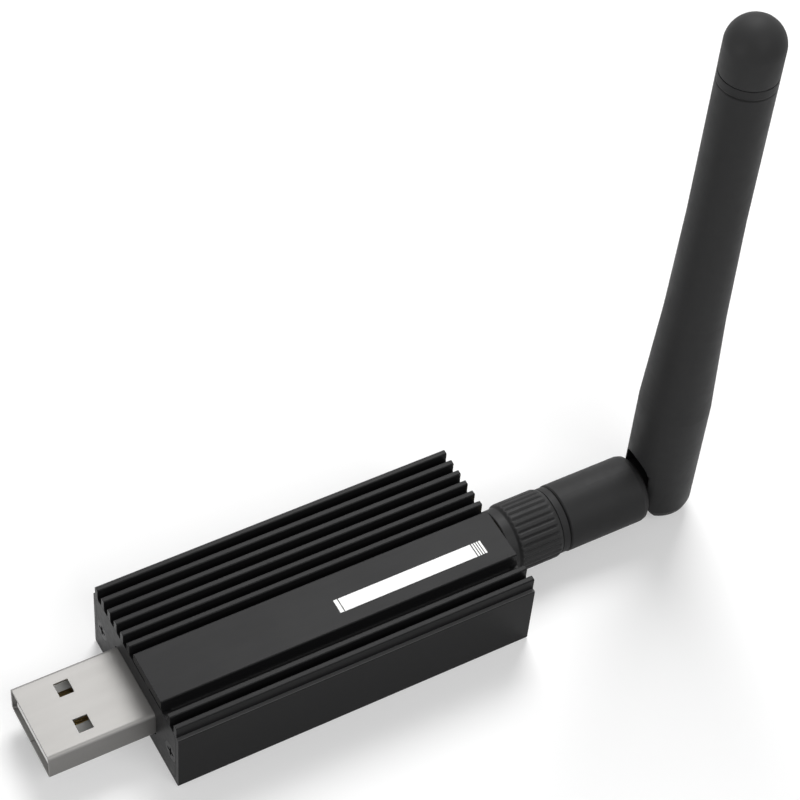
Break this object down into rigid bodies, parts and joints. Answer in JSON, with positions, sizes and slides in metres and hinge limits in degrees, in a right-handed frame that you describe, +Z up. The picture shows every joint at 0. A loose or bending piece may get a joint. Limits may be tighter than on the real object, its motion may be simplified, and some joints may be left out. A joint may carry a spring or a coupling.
{
  "type": "usb radio stick with folding antenna",
  "caption": "Finned black aluminium stick with a USB type A plug at one end and a screw-on antenna that swivels and folds at the other.",
  "frame": {"origin": "centre of the housing's flat underside", "axes": "+Z up with the housing lying on its underside, +X from the plug towards the antenna's knuckle, -X out of the plug's mouth"},
  "size_m": [0.1004, 0.0254, 0.0904],
  "materials": {
    "black_anodised": "fine satin black anodising",
    "black_plate": "satin black anodised sheet",
    "black_screw": "black oxide",
    "plug_steel": "bright nickel plating on folded sheet",
    "white_insulator": "white moulded plastic",
    "gold_contact": "gold plated",
    "board": "green solder mask on glass laminate",
    "chip": "black moulding compound",
    "crystal_can": "plated lid",
    "capacitor": "ceramic with tinned ends",
    "gold_brass": "gold plated, turned",
    "nickel_brass": "nickel plated, turned",
    "natural_insulator": "white fluoropolymer",
    "spring_clip": "spring steel",
    "black_grip": "fine satin moulded, ribbed",
    "black_antenna": "fine matt moulded",
    "cable_jacket": "brown translucent jacket",
    "copper": "bare copper"
  },
  "bodies": {
    "stick": {"housing_shell": "black_anodised", "front_end_plate": "black_plate", "rear_end_plate": "black_plate", "end_plate_screws": "black_screw", "usb_plug_shell": "plug_steel", "usb_plug_insulator": "white_insulator", "usb_plug_contacts": "gold_contact", "circuit_board": "board", "serial_bridge_chip": "chip", "radio_chip": "chip", "voltage_regulator": "chip", "main_crystal": "crystal_can", "clock_crystal": "crystal_can", "board_capacitors": "capacitor", "jack_body": "gold_brass", "jack_insulator": "natural_insulator", "jack_contact": "gold_brass"},
    "connector": {"ferrule": "nickel_brass", "ferrule_insulator": "natural_insulator", "ferrule_pin": "gold_brass", "swivel_collar": "black_antenna", "retaining_clip": "spring_clip"},
    "nut": {"coupling_nut": "nickel_brass", "nut_grip": "black_grip"},
    "swivel": {"swivel_base": "black_antenna", "feed_cable": "cable_jacket"},
    "arm": {"antenna_arm": "black_antenna", "tip_cap": "black_antenna", "upper_cable": "cable_jacket", "radiator_sleeve": "nickel_brass", "radiator_wire": "copper"}
  },
  "joints": [
    {"name": "antenna_unscrew", "type": "slide", "parent": "stick", "child": "connector", "axis": [1, 0, 0], "range_m": [0, 0.00494]},
    {"name": "nut_turn", "type": "hinge", "parent": "connector", "child": "nut", "pos_m": [0.0321, 0, 0.005], "axis": [1, 0, 0], "range_deg": [0, 2520]},
    {"name": "antenna_swivel", "type": "hinge", "parent": "connector", "child": "swivel", "pos_m": [0.0426, 0, 0.005], "axis": [1, 0, 0], "range_deg": [-180, 180]},
    {"name": "antenna_tilt", "type": "hinge", "parent": "swivel", "child": "arm", "pos_m": [0.0545, 0, 0.005], "axis": [0, 1, 0], "range_deg": [0, 90]}
  ],
  "couplings": [
    {"joint": "nut_turn", "follows": "antenna_unscrew", "rad_per_m": 8905.5}
  ]
}
